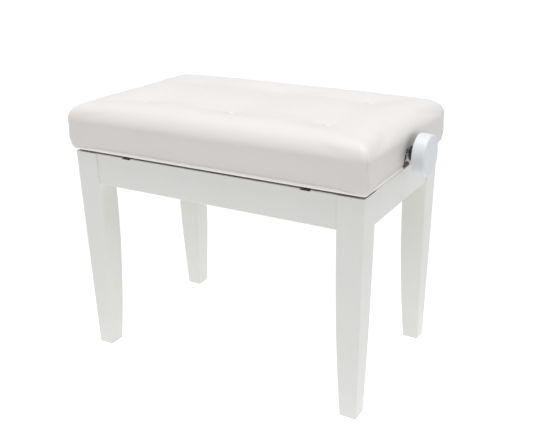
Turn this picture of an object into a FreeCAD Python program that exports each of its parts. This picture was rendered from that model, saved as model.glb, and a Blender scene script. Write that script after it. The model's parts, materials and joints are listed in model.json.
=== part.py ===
import FreeCAD, Part
import os
from math import cos, hypot, radians, sin, sqrt

# An upholstered piano bench on four tapered legs. Two knobs turn a spindle under the seat, which
# opens a scissor lift hidden by the seat's skirt.
# Millimetres. X runs along the bench, Y across it and Z up. The origin is on the floor under the
# middle. Front is -Y and right is +X. The seat is drawn at its lowest.

V = FreeCAD.Vector
ORIGIN = V(0, 0, 0)
X_AXIS, Y_AXIS, Z_AXIS = V(1, 0, 0), V(0, 1, 0), V(0, 0, 1)
SIDES = {"front": -1, "back": 1}
ENDS = {"left": -1, "right": 1}

# Wooden frame
FRAME_TOP = 385.5
LEG_TOP_X, LEG_TOP_Y = 276.0, 163.3
LEG_FOOT_X, LEG_FOOT_Y = 271.0, 161.0
LEG_THICK, LEG_FOOT = 44.6, 30.0
LEG_EDGE = 2.0
GLIDE_RADIUS, GLIDE_HEIGHT = 11.0, 2.0
APRON_DEPTH, APRON_THICK, APRON_SETBACK = 56.5, 18.0, 2.5
APRON_EDGE = 1.5
BRACE_HEIGHT, BRACE_THICK, BRACE_GAP, BRACE_RAISE = 28.0, 20.0, 1.5, 4.0
BOLT_RADIUS, BOLT_IN_LEG, BOLT_TAIL = 4.0, 35.0, 3.0
WASHER_RADIUS, WASHER_THICK, NUT_ACROSS, NUT_THICK = 9.0, 1.6, 13.0, 6.5

# Upholstered seat
SEAT_LENGTH, SEAT_WIDTH = 560.0, 336.0
SEAT_BOTTOM, SEAT_TOP = 390.0, 466.0
PIPING_RADIUS, PIPING_SHORT = 3.0, 2.0
COVER_THICK, COVER_SETBACK, HEM_GAP = 1.5, 1.0, 0.2
COVER_CORNER, COVER_TOP_EDGE = 12.0, 11.0
SIDE_PADDING = 3.7
BOARD_THICK, BOARD_UNDERSIDE = 12.0, 425.0
SKIRT_THICK, SKIRT_BOTTOM = 12.0, 391.5
DIMPLE_RADIUS, DIMPLE_DEPTH = 30.0, 6.0
BUTTON_RADIUS, BUTTON_THICK, BUTTON_RIM = 9.0, 3.2, 2.4
BUTTON_X, BUTTON_Y = 178.0, 84.0
NOTCH_HALF_WIDTH, NOTCH_TOP = 6.5, 422.0
WADDING_NOTCH_HALF, SKIRT_NOTCH_HALF, SKIRT_NOTCH_CORNER = 12.0, 28.0, 6.0

# Scissor lift
LIFT = 100.0
PIVOT_X, LOWER_PIVOT_Z, UPPER_PIVOT_Z = 172.0, 374.0, 414.0
STEEL = 3.0
ARM_WIDTH, ARM_THICK = 20.0, 4.0
RAIL_GAP, ARM_GAP, UPPER_RAIL_GAP, BAR_GAP = 1.8, 2.0, 4.0, 3.0
LOWER_RAIL_LENGTH, LOWER_RAIL_DEPTH = 384.0, 21.5
UPPER_RAIL_LENGTH, UPPER_RAIL_DEPTH, UPPER_RAIL_FLANGE = 410.0, 23.0, 20.0
RAIL_CORNER = 5.0
EAR_X = (-166.5, 177.5)
EAR_WIDTH, EAR_ROUND, EAR_SUNK, EAR_SHORT, EAR_SEAT_PLAY = 16.0, 6.5, 2.5, 0.5, 1.0
EAR_SCREW_LENGTH, SEAT_SCREW_LENGTH = 16.0, 13.0
PIN_RADIUS, PIN_HEAD, PIN_SHOULDER = 4.0, 6.5, 7.0
HEAD_THICK, HEAD_GAP = 2.0, 0.2
ROD_RADIUS = 5.0
CROSS_TUBE_RADIUS, CROSS_TUBE_BORE, CROSS_TUBE_RUN = 6.0, 4.5, 55.0
SCREW_RADIUS, SCREW_HEAD_HEIGHT, SCREW_HEAD_EDGE = 2.0, 2.2, 1.2
SCREW_POINT, SCREW_POINT_RADIUS, CROSS_SLOT = 3.0, 0.3, 0.8
NUT_LENGTH, NUT_WIDTH, NUT_HEIGHT, NUT_EDGE = 26.0, 24.0, 20.0, 1.5
BAR_WIDTH = 14.0

# Play between mating round surfaces, as a difference of radii
RUNNING = 0.05
FIXED = 0.02
SLOT_PLAY = 0.3
LIFT_PLAY = 1.0
SCREW_PLAY = 0.3
SPINDLE_RADIUS, SPINDLE_END, SPINDLE_EDGE = 5.0, 309.8, 0.8

# Knobs, and the steel ferrules that hold them on the spindle
KNOB_RADIUS, KNOB_THICK, KNOB_BACK = 34.0, 22.0, 296.8
KNOB_FRONT_EDGE, KNOB_BACK_EDGE = 4.0, 1.0
FERRULE_RADIUS, FERRULE_LENGTH, FERRULE_EDGE = 12.0, 12.6, 0.8
SPIGOT_RADIUS, SPIGOT_LENGTH = 8.0, 11.0
GRUB_RADIUS, GRUB_SUNK = 2.05, 1.0

# Sizes that follow from those above
apron_bottom = FRAME_TOP - APRON_DEPTH
apron_y = LEG_TOP_Y - APRON_SETBACK
apron_x = LEG_TOP_X - APRON_SETBACK
cover_x, cover_y = SEAT_LENGTH / 2 - COVER_SETBACK, SEAT_WIDTH / 2 - COVER_SETBACK
lining_x, lining_y = cover_x - COVER_THICK, cover_y - COVER_THICK
board_x, board_y = lining_x - SIDE_PADDING, lining_y - SIDE_PADDING
hem_z = SEAT_BOTTOM + 2 * PIPING_RADIUS + HEM_GAP
pad_bottom = BOARD_UNDERSIDE + BOARD_THICK
rise = UPPER_PIVOT_Z - LOWER_PIVOT_Z
arm_length = hypot(2 * PIVOT_X, rise)
nut_travel = 2 * PIVOT_X - sqrt(arm_length**2 - (rise + LIFT) ** 2)

# The lift's layers, as distances from the middle plane Y = 0
rail_y = apron_y - APRON_THICK - STEEL
arm_a_y = rail_y - RAIL_GAP - ARM_THICK
arm_b_y = arm_a_y - ARM_GAP - ARM_THICK
upper_rail_y = arm_b_y - UPPER_RAIL_GAP - STEEL
bar_end_y = upper_rail_y - BAR_GAP


def box(x0, x1, y0, y1, z0, z1):
    return Part.makeBox(x1 - x0, y1 - y0, z1 - z0, V(x0, y0, z0))


def rod(radius, start, end):
    """A round bar between two points."""
    return Part.makeCylinder(radius, (end - start).Length, start, end - start)


def rod_y(radius, x, z, y0, y1):
    """A round bar along Y."""
    return rod(radius, V(x, y0, z), V(x, y1, z))


def prism(points, direction):
    """A solid swept from a closed outline of straight edges."""
    return Part.Face(Part.makePolygon(points + points[:1])).extrude(direction)


def mirrored(shape, end=1, side=1):
    """A shape made for the right end and the back, put at another end or side."""
    if end < 0:
        shape = shape.mirror(ORIGIN, X_AXIS)
    if side < 0:
        shape = shape.mirror(ORIGIN, Y_AXIS)
    return shape


def all_corners(shape):
    return [mirrored(shape, end, side) for end in (-1, 1) for side in (-1, 1)]


def both_ends(shape):
    return [mirrored(shape, end=end) for end in (-1, 1)]


def both_sides(shape):
    return [mirrored(shape, side=side) for side in (-1, 1)]


def edges_where(shape, test):
    return [e for e in shape.Edges if test(e.BoundBox)]


def upright(bounds):
    """True for an edge that runs mostly up and down."""
    return bounds.ZLength > bounds.XLength + bounds.YLength


def rounded_block(half_x, half_y, z0, z1, corner):
    block = box(-half_x, half_x, -half_y, half_y, z0, z1)
    return block.makeFillet(corner, edges_where(block, upright))


def pan_screw(x, y, z, length, upwards=False):
    """A cross-slotted pan-head wood screw, with its head's underside at z."""
    head = Part.makeCylinder(2 * SCREW_RADIUS, SCREW_HEAD_HEIGHT)
    head = head.makeFillet(SCREW_HEAD_EDGE, edges_where(head, lambda b: b.ZMin > SCREW_HEAD_HEIGHT / 2))
    slot_reach, slot_half, tip = 1.1 * SCREW_RADIUS, CROSS_SLOT / 2, SCREW_POINT
    slot_floor = SCREW_HEAD_HEIGHT / 2
    slot = box(-slot_reach, slot_reach, -slot_half, slot_half, slot_floor, 2 * SCREW_HEAD_HEIGHT)
    cross = slot.fuse(slot.rotated(ORIGIN, Z_AXIS, 90))
    shank = Part.makeCylinder(SCREW_RADIUS, length - tip, V(0, 0, tip - length))
    point = Part.makeCone(SCREW_RADIUS, SCREW_POINT_RADIUS, tip, V(0, 0, tip - length), -Z_AXIS)
    screw = head.fuse([shank, point]).cut(cross)
    if upwards:
        screw = screw.mirror(ORIGIN, Z_AXIS)
    return screw.translated(V(x, y, z))


def screw_hole(x, y):
    """The cut that clears a screw's shank through a level plate."""
    return rod(SCREW_RADIUS + SCREW_PLAY, V(x, y, 0), V(x, y, SEAT_TOP))


def pilot_hole(x, y, z0, z1):
    """The hole in the wood that a screw fills."""
    return rod(SCREW_RADIUS + RUNNING, V(x, y, z0), V(x, y, z1))


def save(name, *solids):
    shape = solids[0] if len(solids) == 1 else Part.makeCompound(list(solids))
    shape.exportStep(f"parts/{name}.step")


# Legs: flat leaning faces outside, curved ones inside that swell up to the aprons


def leg_outer(top, foot, z):
    """How far a leg's outer face stands from the middle plane at height z."""
    return foot + (top - foot) * (z - GLIDE_HEIGHT) / (FRAME_TOP - GLIDE_HEIGHT)


def leg_outline(top, foot, point):
    """A leg's outline in one upright plane; point(distance, height) places it."""
    knee = leg_outer(top, foot, apron_bottom)
    foot_inner = point(foot - LEG_FOOT, GLIDE_HEIGHT)
    knee_inner = point(knee - LEG_THICK, apron_bottom)
    pull = point((foot + knee) / 2 - LEG_THICK, (GLIDE_HEIGHT + apron_bottom) / 2)
    curve = Part.BezierCurve()
    curve.setPoles([foot_inner, pull, knee_inner])
    top_inner, top_outer = point(top - LEG_THICK, FRAME_TOP), point(top, FRAME_TOP)
    foot_outer = point(foot, GLIDE_HEIGHT)
    lines = [(knee_inner, top_inner), (top_inner, top_outer), (top_outer, foot_outer),
             (foot_outer, foot_inner)]
    return Part.Wire([curve.toShape()] + [Part.makeLine(a, b) for a, b in lines])


def make_leg():
    reach = 2 * LEG_TOP_Y
    side_view = leg_outline(LEG_TOP_X, LEG_FOOT_X, lambda d, z: V(d, 0, z))
    end_view = leg_outline(LEG_TOP_Y, LEG_FOOT_Y, lambda d, z: V(0, d, z))
    leg = Part.Face(side_view).extrude(V(0, reach, 0))
    leg = leg.common(Part.Face(end_view).extrude(V(2 * LEG_TOP_X, 0, 0)))
    leg = leg.makeFillet(LEG_EDGE, edges_where(leg, upright))
    return leg.makeChamfer(1.0, edges_where(leg, lambda b: b.ZMax < GLIDE_HEIGHT + 0.01))


# Corner hardware lies on a level line at 45 degrees through the leg's inner corner

bolt_z = apron_bottom + BRACE_RAISE + BRACE_HEIGHT / 2
inner_corner = V(leg_outer(LEG_TOP_X, LEG_FOOT_X, bolt_z) - LEG_THICK,
                 leg_outer(LEG_TOP_Y, LEG_FOOT_Y, bolt_z) - LEG_THICK, bolt_z)
INWARD = V(-1, -1, 0).normalize()


def bolt_line(distance):
    """The point this far inwards from the leg's inner corner."""
    return inner_corner + INWARD * distance


def bolt_hole(play):
    """The cut for the hanger bolt, from its end inside the leg to past the nut."""
    return rod(BOLT_RADIUS + play, bolt_line(-BOLT_IN_LEG), bolt_line(2 * BOLT_IN_LEG))


brace_inner = BRACE_GAP + BRACE_THICK
washer_inner = brace_inner + WASHER_THICK
nut_inner = washer_inner + NUT_THICK


def make_brace():
    """A block across the corner, from the long apron's inner face to the short one's."""
    long_face, short_face = apron_y - APRON_THICK, apron_x - APRON_THICK
    corner_sum = inner_corner.x + inner_corner.y
    near = corner_sum - BRACE_GAP * sqrt(2)
    far = corner_sum - brace_inner * sqrt(2)
    z = bolt_z - BRACE_HEIGHT / 2
    outline = [V(near - long_face, long_face, z), V(short_face, near - short_face, z),
               V(short_face, far - short_face, z), V(far - long_face, long_face, z)]
    return prism(outline, V(0, 0, BRACE_HEIGHT)).cut(bolt_hole(0.5))


def make_washer():
    disc = rod(WASHER_RADIUS, bolt_line(brace_inner), bolt_line(washer_inner))
    return disc.cut(bolt_hole(SCREW_PLAY))


def make_nut():
    to_corner = NUT_ACROSS / sqrt(3)
    points = [V(to_corner * cos(radians(a)), to_corner * sin(radians(a)), 0)
              for a in range(0, 360, 60)]
    nut = prism(points, V(0, 0, NUT_THICK))
    nut.Placement = FreeCAD.Placement(bolt_line(washer_inner), FreeCAD.Rotation(Z_AXIS, INWARD))
    return nut.cut(bolt_hole(RUNNING))


leg = make_leg()
bored_leg = leg.cut(bolt_hole(RUNNING))
for side_name, side in SIDES.items():
    for end_name, end in ENDS.items():
        save(f"leg_{side_name}_{end_name}", mirrored(bored_leg, end, side))

glide = Part.makeCylinder(GLIDE_RADIUS, GLIDE_HEIGHT,
                          V(LEG_FOOT_X - LEG_FOOT / 2, LEG_FOOT_Y - LEG_FOOT / 2, 0))
glide = glide.makeChamfer(0.5, edges_where(glide, lambda b: b.ZMax < 0.01))
bolt = rod(BOLT_RADIUS, bolt_line(-BOLT_IN_LEG), bolt_line(nut_inner + BOLT_TAIL))
save("foot_glides", *all_corners(glide))
save("corner_braces", *all_corners(make_brace()))
save("hanger_bolts", *all_corners(bolt))
save("brace_washers", *all_corners(make_washer()))
save("hanger_nuts", *all_corners(make_nut()))

# Aprons: rails between the legs, with a shallow seat in the long ones for each steel ear

ear_bottom = FRAME_TOP - EAR_SUNK
ear_top = ear_bottom + STEEL
ear_screw_y = apron_y - APRON_THICK / 2


def softened(apron, outside):
    """An apron with its two long outer edges rounded."""
    return apron.makeFillet(APRON_EDGE, edges_where(apron, outside))


def make_long_apron():
    half = LEG_TOP_X - LEG_THICK / 2
    apron = box(-half, half, apron_y - APRON_THICK, apron_y, apron_bottom, FRAME_TOP)
    apron = softened(apron, lambda b: b.XLength > half and b.YMin > apron_y - 0.1)
    reach = EAR_WIDTH / 2 + EAR_SEAT_PLAY
    for x in EAR_X:
        apron = apron.cut(box(x - reach, x + reach, 0, 2 * apron_y, ear_bottom, SEAT_TOP))
        apron = apron.cut(pilot_hole(x, ear_screw_y, ear_top - EAR_SCREW_LENGTH, FRAME_TOP))
    return apron.cut(both_ends(leg))


def make_short_apron():
    half = LEG_TOP_Y - LEG_THICK / 2
    apron = box(apron_x - APRON_THICK, apron_x, -half, half, apron_bottom, FRAME_TOP)
    apron = softened(apron, lambda b: b.YLength > half and b.XMin > apron_x - 0.1)
    return apron.cut(both_sides(leg))


for side_name, side in SIDES.items():
    save(f"apron_{side_name}", mirrored(make_long_apron(), side=side))
for end_name, end in ENDS.items():
    save(f"apron_{end_name}", mirrored(make_short_apron(), end=end))


# Lower rails: steel strips inside the long aprons, hung from ears screwed on the apron's top


def level_slot(radius, y0, y1, z):
    """The cut that a round bar needs to travel along a rail as the arms close up."""
    x0, x1 = PIVOT_X - nut_travel, PIVOT_X
    middle = box(x0, x1, y0, y1, z - radius, z + radius)
    return middle.fuse([rod_y(radius, x0, z, y0, y1), rod_y(radius, x1, z, y0, y1)])


def make_lower_rail():
    half = LOWER_RAIL_LENGTH / 2
    y0, y1 = rail_y, rail_y + STEEL
    rail = box(-half, half, y0, y1, ear_bottom - LOWER_RAIL_DEPTH, ear_bottom)
    low_corners = edges_where(rail, lambda b: b.YLength > 1 and b.ZMax < LOWER_PIVOT_Z)
    rail = rail.makeFillet(RAIL_CORNER, low_corners)
    half_ear = EAR_WIDTH / 2
    for x in EAR_X:
        ear = box(x - half_ear, x + half_ear, y0, apron_y - EAR_SHORT, ear_bottom, ear_top)
        ear = ear.makeFillet(EAR_ROUND, edges_where(ear, lambda b: upright(b) and b.YMin > y1))
        rail = rail.fuse(ear).cut(screw_hole(x, ear_screw_y))
    rail = rail.cut(rod_y(PIN_RADIUS + FIXED, -PIVOT_X, LOWER_PIVOT_Z, y0 - 1, y1 + 1))
    return rail.cut(level_slot(ROD_RADIUS + SLOT_PLAY, y0 - 1, y1 + 1, LOWER_PIVOT_Z)).removeSplitter()


def make_lower_pivot_pin():
    """A shouldered rivet that the lift's A arms swing on."""
    arm_outer, head_outer = arm_a_y + ARM_THICK, arm_a_y - HEAD_GAP
    pin = rod_y(PIN_RADIUS, -PIVOT_X, LOWER_PIVOT_Z, head_outer, rail_y + STEEL)
    shoulder = rod_y(PIN_SHOULDER, -PIVOT_X, LOWER_PIVOT_Z, arm_outer + HEAD_GAP, rail_y)
    head = rod_y(PIN_HEAD, -PIVOT_X, LOWER_PIVOT_Z, head_outer - HEAD_THICK, head_outer)
    return pin.fuse([shoulder, head])


for side_name, side in SIDES.items():
    save(f"lower_rail_{side_name}", mirrored(make_lower_rail(), side=side))
ear_screws = [pan_screw(x, ear_screw_y, ear_top, EAR_SCREW_LENGTH) for x in EAR_X]
save("lower_rail_screws", *[s for screw in ear_screws for s in both_sides(screw)])
save("lower_pivot_pins", *both_sides(make_lower_pivot_pin()))


# Scissor arms: flat bars with round ends, one pair of each at the front and at the back


def flat_bar(start, end, y0):
    """A bar with round ends from one pivot to another, both given as (x, z)."""
    run = V(end[0] - start[0], 0, end[1] - start[1])
    across = V(-run.z, 0, run.x).normalize() * (ARM_WIDTH / 2)
    a, b = V(start[0], y0, start[1]), V(end[0], y0, end[1])
    bar = prism([a + across, b + across, b - across, a - across], V(0, ARM_THICK, 0))
    ends = [rod(ARM_WIDTH / 2, p, p + V(0, ARM_THICK, 0)) for p in (a, b)]
    return bar.fuse(ends).removeSplitter()


def drilled(arm, y0, *holes):
    """An arm with holes, each given as (radius, x, z)."""
    for radius, x, z in holes:
        arm = arm.cut(rod_y(radius, x, z, y0 - 1, y0 + ARM_THICK + 1))
    return arm


centre_z = (LOWER_PIVOT_Z + UPPER_PIVOT_Z) / 2
lower_left, lower_right = (-PIVOT_X, LOWER_PIVOT_Z), (PIVOT_X, LOWER_PIVOT_Z)
upper_left, upper_right = (-PIVOT_X, UPPER_PIVOT_Z), (PIVOT_X, UPPER_PIVOT_Z)

arm_a = drilled(flat_bar(lower_left, upper_right, arm_a_y), arm_a_y,
                (PIN_RADIUS + RUNNING, *lower_left), (PIN_RADIUS + FIXED, 0, centre_z),
                (ROD_RADIUS + RUNNING, *upper_right))
arm_b = drilled(flat_bar(lower_right, upper_left, arm_b_y), arm_b_y,
                (ROD_RADIUS + FIXED, *lower_right), (PIN_RADIUS + RUNNING, 0, centre_z),
                (PIN_RADIUS + FIXED, *upper_left))
for side_name, side in SIDES.items():
    save(f"arm_a_{side_name}", mirrored(arm_a, side=side))
    save(f"arm_b_{side_name}", mirrored(arm_b, side=side))


def make_centre_pin():
    """The rivet that joins an A arm to its B arm; it is fast in the A arm."""
    inner, outer = arm_b_y - HEAD_GAP, arm_a_y + ARM_THICK
    pin = rod_y(PIN_RADIUS, 0, centre_z, inner, outer)
    spacer = rod_y(PIN_SHOULDER, 0, centre_z, arm_b_y + ARM_THICK + HEAD_GAP, arm_a_y)
    inner_head = rod_y(PIN_HEAD, 0, centre_z, inner - HEAD_THICK, inner)
    outer_head = rod_y(PIN_HEAD, 0, centre_z, outer, outer + RAIL_GAP - HEAD_GAP)
    return pin.fuse([spacer, inner_head, outer_head])


def make_upper_pin():
    """The rivet at a B arm's upper end, loose in the seat's rail."""
    head_outer, rail_outer = upper_rail_y - HEAD_GAP, upper_rail_y + STEEL
    pin = rod_y(PIN_RADIUS, *upper_left, head_outer, arm_b_y + ARM_THICK)
    shoulder = rod_y(PIN_HEAD, *upper_left, rail_outer + HEAD_GAP, arm_b_y)
    head = rod_y(PIN_HEAD, *upper_left, head_outer - HEAD_THICK, head_outer)
    return pin.fuse([shoulder, head])


def make_cross_tube():
    """The tube that holds the two A arms square, a little up from their lower ends."""
    x = -PIVOT_X + CROSS_TUBE_RUN
    z = LOWER_PIVOT_Z + CROSS_TUBE_RUN * rise / (2 * PIVOT_X)
    tube = rod_y(CROSS_TUBE_RADIUS, x, z, -arm_a_y, arm_a_y)
    return tube.cut(rod_y(CROSS_TUBE_BORE, x, z, -arm_a_y, arm_a_y))


slide_reach = rail_y + STEEL - 0.4
save("centre_pivot_pins", *both_sides(make_centre_pin()))
save("upper_pivot_pins", *both_sides(make_upper_pin()))
save("arm_a_cross_tube", make_cross_tube())
save("lower_slide_rod", rod_y(ROD_RADIUS, *lower_right, -slide_reach, slide_reach))

# Cross bar and drive nut: carried level by the A arms' upper ends, pulled along by the spindle


def bar_at_pivot(length, width, height):
    """A level block centred on the upper right pivots' line."""
    x, z = upper_right
    return box(x - length / 2, x + length / 2, -width / 2, width / 2, z - height / 2, z + height / 2)


def make_cross_bar():
    bar = bar_at_pivot(BAR_WIDTH, 2 * bar_end_y, BAR_WIDTH)
    cap_inner = arm_a_y + ARM_THICK + HEAD_GAP
    journal = rod_y(ROD_RADIUS, *upper_right, bar_end_y, cap_inner)
    cap = rod_y(PIN_SHOULDER, *upper_right, cap_inner, rail_y - HEAD_GAP)
    return bar.fuse(both_sides(journal) + both_sides(cap)).cut(nut_block)


def spindle_hole(play):
    return rod(SPINDLE_RADIUS + play, V(0, 0, UPPER_PIVOT_Z), V(SPINDLE_END, 0, UPPER_PIVOT_Z))


nut_block = bar_at_pivot(NUT_LENGTH, NUT_WIDTH, NUT_HEIGHT)
nut_body = nut_block.makeFillet(NUT_EDGE, edges_where(nut_block, lambda b: b.XLength > 1))
drive_nut = nut_body.cut(spindle_hole(LIFT_PLAY))
save("lift_cross_bar", make_cross_bar())
save("drive_nut", drive_nut)


# Upper rails: angle strips under the seat board that rest on the scissor's upper pivots

UPPER_SCREW_X = (-190.0, -60.0, 60.0, 195.0)
plate_bottom = BOARD_UNDERSIDE - STEEL
upper_screw_y = upper_rail_y - 8.0


def make_upper_rail():
    half, top = UPPER_RAIL_LENGTH / 2, BOARD_UNDERSIDE
    y0, y1 = upper_rail_y, upper_rail_y + STEEL
    rail = box(-half, half, y0, y1, top - UPPER_RAIL_DEPTH, top)
    rail = rail.fuse(box(-half, half, y1 - UPPER_RAIL_FLANGE, y1, plate_bottom, top)).removeSplitter()
    rail = rail.cut([screw_hole(x, upper_screw_y) for x in UPPER_SCREW_X])
    rail = rail.cut(rod_y(PIN_RADIUS + LIFT_PLAY, *upper_left, y0 - 1, y1 + 1))
    return rail.cut(level_slot(ROD_RADIUS + LIFT_PLAY, y0 - 1, y1 + 1, UPPER_PIVOT_Z))


upper_screws = [pan_screw(x, upper_screw_y, plate_bottom, SEAT_SCREW_LENGTH, upwards=True)
                for x in UPPER_SCREW_X]
for side_name, side in SIDES.items():
    save(f"upper_rail_{side_name}", mirrored(make_upper_rail(), side=side))
save("upper_rail_screws", *[s for screw in upper_screws for s in both_sides(screw)])

# Spindle, its brackets under the board's ends, nylon bushes, collars and knobs

BRACKET_X, BRACKET_HALF, BRACKET_FOOT, BRACKET_DROP, BRACKET_CORNER = 253.0, 22.0, 18.0, 25.0, 8.0
BRACKET_SCREW_X, BRACKET_SCREW_Y = 244.0, 14.0
BUSH_RADIUS, BUSH_FLANGE, FLANGE_THICK, BUSH_PROUD = 7.0, 9.5, 2.0, 1.0
COLLAR_RADIUS, COLLAR_LENGTH, COLLAR_EDGE = 7.5, 8.3, 0.6


def spindle_line(x):
    return V(x, 0, UPPER_PIVOT_Z)


def make_bracket():
    inner, outer, top = BRACKET_X, BRACKET_X + STEEL, BOARD_UNDERSIDE
    plate = box(inner, outer, -BRACKET_HALF, BRACKET_HALF, top - BRACKET_DROP, top)
    low_corners = edges_where(plate, lambda b: b.XLength > 1 and b.ZMax < top - 1)
    plate = plate.makeFillet(BRACKET_CORNER, low_corners)
    foot = box(inner - BRACKET_FOOT, outer, -BRACKET_HALF, BRACKET_HALF, plate_bottom, top)
    bracket = plate.fuse(foot).removeSplitter()
    bush_seat = rod(BUSH_RADIUS + FIXED, spindle_line(inner - 1), spindle_line(outer + 1))
    return bracket.cut([bush_seat] + both_sides(screw_hole(BRACKET_SCREW_X, BRACKET_SCREW_Y)))


def make_bush():
    outer = BRACKET_X + STEEL
    sleeve = rod(BUSH_RADIUS, spindle_line(BRACKET_X - BUSH_PROUD), spindle_line(outer))
    flange = rod(BUSH_FLANGE, spindle_line(outer), spindle_line(outer + FLANGE_THICK))
    return sleeve.fuse(flange).cut(spindle_hole(RUNNING))


def make_collar():
    outer = BRACKET_X - BUSH_PROUD - HEAD_GAP
    collar = rod(COLLAR_RADIUS, spindle_line(outer - COLLAR_LENGTH), spindle_line(outer))
    collar = collar.makeChamfer(COLLAR_EDGE, edges_where(collar, lambda b: b.XLength < 0.1))
    return collar.cut(spindle_hole(FIXED))


def make_knob():
    """A plain thick disc with a soft front edge and a blind stepped bore in its back."""
    disc = rod(KNOB_RADIUS, spindle_line(KNOB_BACK), spindle_line(KNOB_BACK + KNOB_THICK))
    front = KNOB_BACK + KNOB_THICK - 0.1
    disc = disc.makeFillet(KNOB_FRONT_EDGE, edges_where(disc, lambda b: b.XMin > front))
    disc = disc.makeFillet(KNOB_BACK_EDGE, edges_where(disc, lambda b: b.XMax < KNOB_BACK + 0.1))
    socket = rod(SPIGOT_RADIUS + FIXED, spindle_line(0), spindle_line(KNOB_BACK + SPIGOT_LENGTH))
    return disc.cut([spindle_hole(FIXED), socket])


def make_ferrule():
    """The steel sleeve behind a knob: its spigot fits the knob's back, and a grub screw holds it."""
    inner = KNOB_BACK - FERRULE_LENGTH
    collar = rod(FERRULE_RADIUS, spindle_line(inner), spindle_line(KNOB_BACK))
    collar = collar.makeChamfer(FERRULE_EDGE, edges_where(collar, lambda b: b.XMax < inner + 0.1))
    spigot = rod(SPIGOT_RADIUS, spindle_line(KNOB_BACK), spindle_line(KNOB_BACK + SPIGOT_LENGTH))
    grub_hole = rod(GRUB_RADIUS + RUNNING, above_spindle(0), above_spindle(FERRULE_RADIUS + 1))
    return collar.fuse(spigot).cut([spindle_hole(FIXED), grub_hole])


def above_spindle(height):
    """A point on the grub screw's line."""
    return V(KNOB_BACK - FERRULE_LENGTH / 2, 0, UPPER_PIVOT_Z + height)


grub_foot, grub_top = SPINDLE_RADIUS + RUNNING, FERRULE_RADIUS - GRUB_SUNK
grub_screw = rod(GRUB_RADIUS, above_spindle(grub_foot), above_spindle(grub_top))
bracket_screw = pan_screw(BRACKET_SCREW_X, BRACKET_SCREW_Y, plate_bottom, SEAT_SCREW_LENGTH,
                          upwards=True)
for end_name, end in ENDS.items():
    save(f"spindle_bracket_{end_name}", mirrored(make_bracket(), end=end))
    save(f"knob_{end_name}", mirrored(make_knob(), end=end))
save("bracket_screws", *all_corners(bracket_screw))
save("spindle_bushes", *both_ends(make_bush()))
save("spindle_collars", *both_ends(make_collar()))
save("knob_ferrules", *both_ends(make_ferrule()))
save("knob_grub_screws", *both_ends(grub_screw))
spindle = rod(SPINDLE_RADIUS, spindle_line(-SPINDLE_END), spindle_line(SPINDLE_END))
save("spindle", spindle.makeChamfer(SPINDLE_EDGE, edges_where(spindle, lambda b: b.XLength < 0.1)))


# Seat: a board with a skirt of boards under it, padding, and a cover with piping at its hem


def board_hole(x, y):
    return pilot_hole(x, y, BOARD_UNDERSIDE, plate_bottom + SEAT_SCREW_LENGTH)


def make_end_notch():
    """The round-topped slit in the cover's end that the spindle passes through."""
    centre = NOTCH_TOP - NOTCH_HALF_WIDTH
    x0, x1 = board_x - 2 * SKIRT_THICK, 2 * cover_x
    slot = box(x0, x1, -NOTCH_HALF_WIDTH, NOTCH_HALF_WIDTH, apron_bottom, centre)
    return slot.fuse(rod(NOTCH_HALF_WIDTH, V(x0, 0, centre), V(x1, 0, centre)))


def make_wide_notch(half_width, corner):
    """The wider opening behind the slit, square with rounded top corners."""
    x0, x1 = board_x - 2 * SKIRT_THICK, 2 * cover_x
    opening = box(x0, x1, -half_width, half_width, apron_bottom, NOTCH_TOP)
    top_edges = edges_where(opening, lambda b: b.XLength > 1 and b.ZMin > NOTCH_TOP - 1)
    return opening.makeFillet(corner, top_edges)


cover_notches = both_ends(make_end_notch())
wadding_notches = both_ends(make_wide_notch(WADDING_NOTCH_HALF, NOTCH_HALF_WIDTH))
skirt_notch = make_wide_notch(SKIRT_NOTCH_HALF, SKIRT_NOTCH_CORNER)
BOARD_CORNER = 6.0
board = rounded_block(board_x, board_y, BOARD_UNDERSIDE, pad_bottom, BOARD_CORNER)
rail_holes = [h for x in UPPER_SCREW_X for h in both_sides(board_hole(x, upper_screw_y))]
board = board.cut(rail_holes + all_corners(board_hole(BRACKET_SCREW_X, BRACKET_SCREW_Y)))
save("seat_board", board)

skirt_x, skirt_y = board_x - SKIRT_THICK, board_y - SKIRT_THICK
long_skirt = box(-skirt_x, skirt_x, skirt_y, board_y, SKIRT_BOTTOM, BOARD_UNDERSIDE)
end_skirt = box(skirt_x, board_x, -board_y, board_y, SKIRT_BOTTOM, BOARD_UNDERSIDE)
end_skirt = end_skirt.makeFillet(BOARD_CORNER, edges_where(end_skirt, lambda b: upright(b) and
                                                           b.XMin > skirt_x + 1))
for side_name, side in SIDES.items():
    save(f"skirt_{side_name}", mirrored(long_skirt, side=side))
for end_name, end in ENDS.items():
    save(f"skirt_{end_name}", mirrored(end_skirt.cut(skirt_notch), end=end))


def cushion(inset):
    """The seat's soft outline from the hem up, this far inside the cover's outer face."""
    top = SEAT_TOP - inset
    shape = rounded_block(cover_x - inset, cover_y - inset, hem_z, top, COVER_CORNER - inset)
    shape = shape.makeFillet(COVER_TOP_EDGE - inset, edges_where(shape, lambda b: b.ZMin > top - 0.1))
    centre = SEAT_TOP + DIMPLE_RADIUS - DIMPLE_DEPTH
    dimples = [Part.makeSphere(DIMPLE_RADIUS + inset, V(x, y, centre)) for x, y in button_places]
    return shape.cut(dimples)


button_places = [(x, y) for x in (-BUTTON_X, 0, BUTTON_X) for y in (-BUTTON_Y, BUTTON_Y)]
lining = cushion(COVER_THICK)
half_space = box(-cover_x, cover_x, -cover_y, cover_y, pad_bottom, SEAT_TOP)
save("foam_pad", lining.common(half_space))
under_pad = lining.cut(half_space)
board_space = rounded_block(board_x, board_y, 0, pad_bottom, BOARD_CORNER)
save("side_wadding", under_pad.cut([board_space] + wadding_notches))
save("seat_cover", cushion(0).cut([lining] + cover_notches))


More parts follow.
